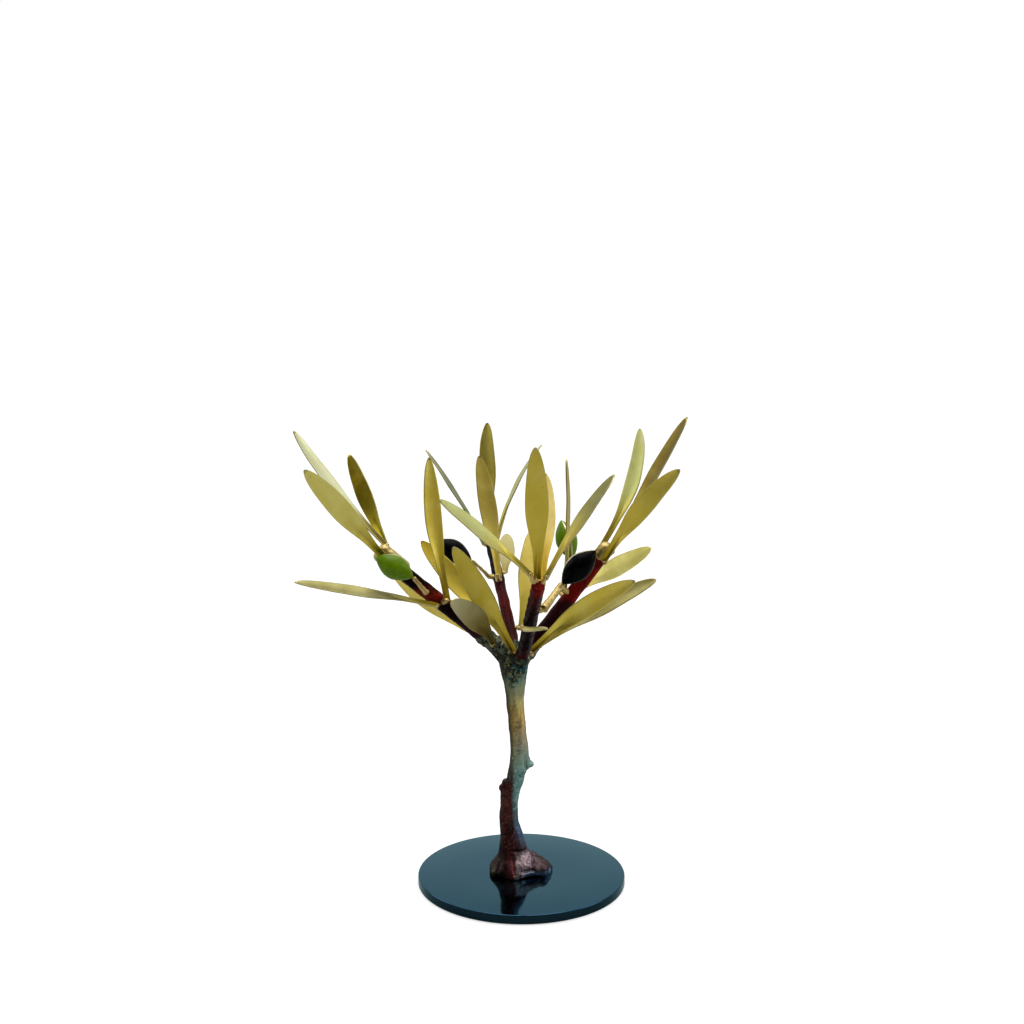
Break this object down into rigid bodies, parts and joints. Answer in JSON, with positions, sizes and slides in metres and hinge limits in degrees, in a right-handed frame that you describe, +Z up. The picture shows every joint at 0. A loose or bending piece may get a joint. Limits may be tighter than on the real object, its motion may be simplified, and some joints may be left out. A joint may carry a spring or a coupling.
{
  "type": "metal olive tree sculpture",
  "caption": "Small table sculpture of an olive tree: cast bronze trunk on a round steel disc, enamelled boughs, cut brass leaves and enamelled olives.",
  "frame": {"origin": "middle of the flat underside of the disc", "axes": "+Z up from the disc to the crown; -Y towards the front, where the bough in the middle comes forward; +X to the right of that view"},
  "size_m": [0.1651, 0.1464, 0.2027],
  "materials": {
    "disc_lacquer": "dark slate teal lacquer, semi-gloss",
    "bronze_patina": "cast bronze with teal, golden and maroon patina",
    "bough_enamel": "dark maroon enamel with bright red patches, glossy",
    "leaf_brass": "satin brass sheet, olive gold",
    "solder_brass": "brass solder and wire, lumpy and bright",
    "enamel_green": "green enamel on copper, glossy",
    "enamel_black": "black enamel on copper, glossy"
  },
  "bodies": {
    "root": {"base_disc": "disc_lacquer", "bough_back": "bough_enamel", "bough_front": "bough_enamel", "bough_left": "bough_enamel", "bough_right": "bough_enamel", "cap_left": "solder_brass", "cap_right": "solder_brass", "leaf_back_1": "leaf_brass", "leaf_back_2": "leaf_brass", "leaf_back_3": "leaf_brass", "leaf_back_4": "leaf_brass", "leaf_back_5": "leaf_brass", "leaf_back_6": "leaf_brass", "leaf_back_7": "leaf_brass", "leaf_front_1": "leaf_brass", "leaf_front_2": "leaf_brass", "leaf_front_3": "leaf_brass", "leaf_front_4": "leaf_brass", "leaf_front_5": "leaf_brass", "leaf_front_6": "leaf_brass", "leaf_left_1": "leaf_brass", "leaf_left_2": "leaf_brass", "leaf_left_3": "leaf_brass", "leaf_left_4": "leaf_brass", "leaf_left_5": "leaf_brass", "leaf_left_6": "leaf_brass", "leaf_left_7": "leaf_brass", "leaf_right_1": "leaf_brass", "leaf_right_2": "leaf_brass", "leaf_right_3": "leaf_brass", "leaf_right_4": "leaf_brass", "leaf_right_5": "leaf_brass", "leaf_right_6": "leaf_brass", "leaf_right_7": "leaf_brass", "olive_black_back": "enamel_black", "olive_black_right": "enamel_black", "olive_green_left": "enamel_green", "olive_green_right": "enamel_green", "stalk_black_back": "solder_brass", "stalk_black_right": "solder_brass", "stalk_green_left": "solder_brass", "stalk_green_right": "solder_brass", "trunk": "bronze_patina"}
  },
  "joints": []
}
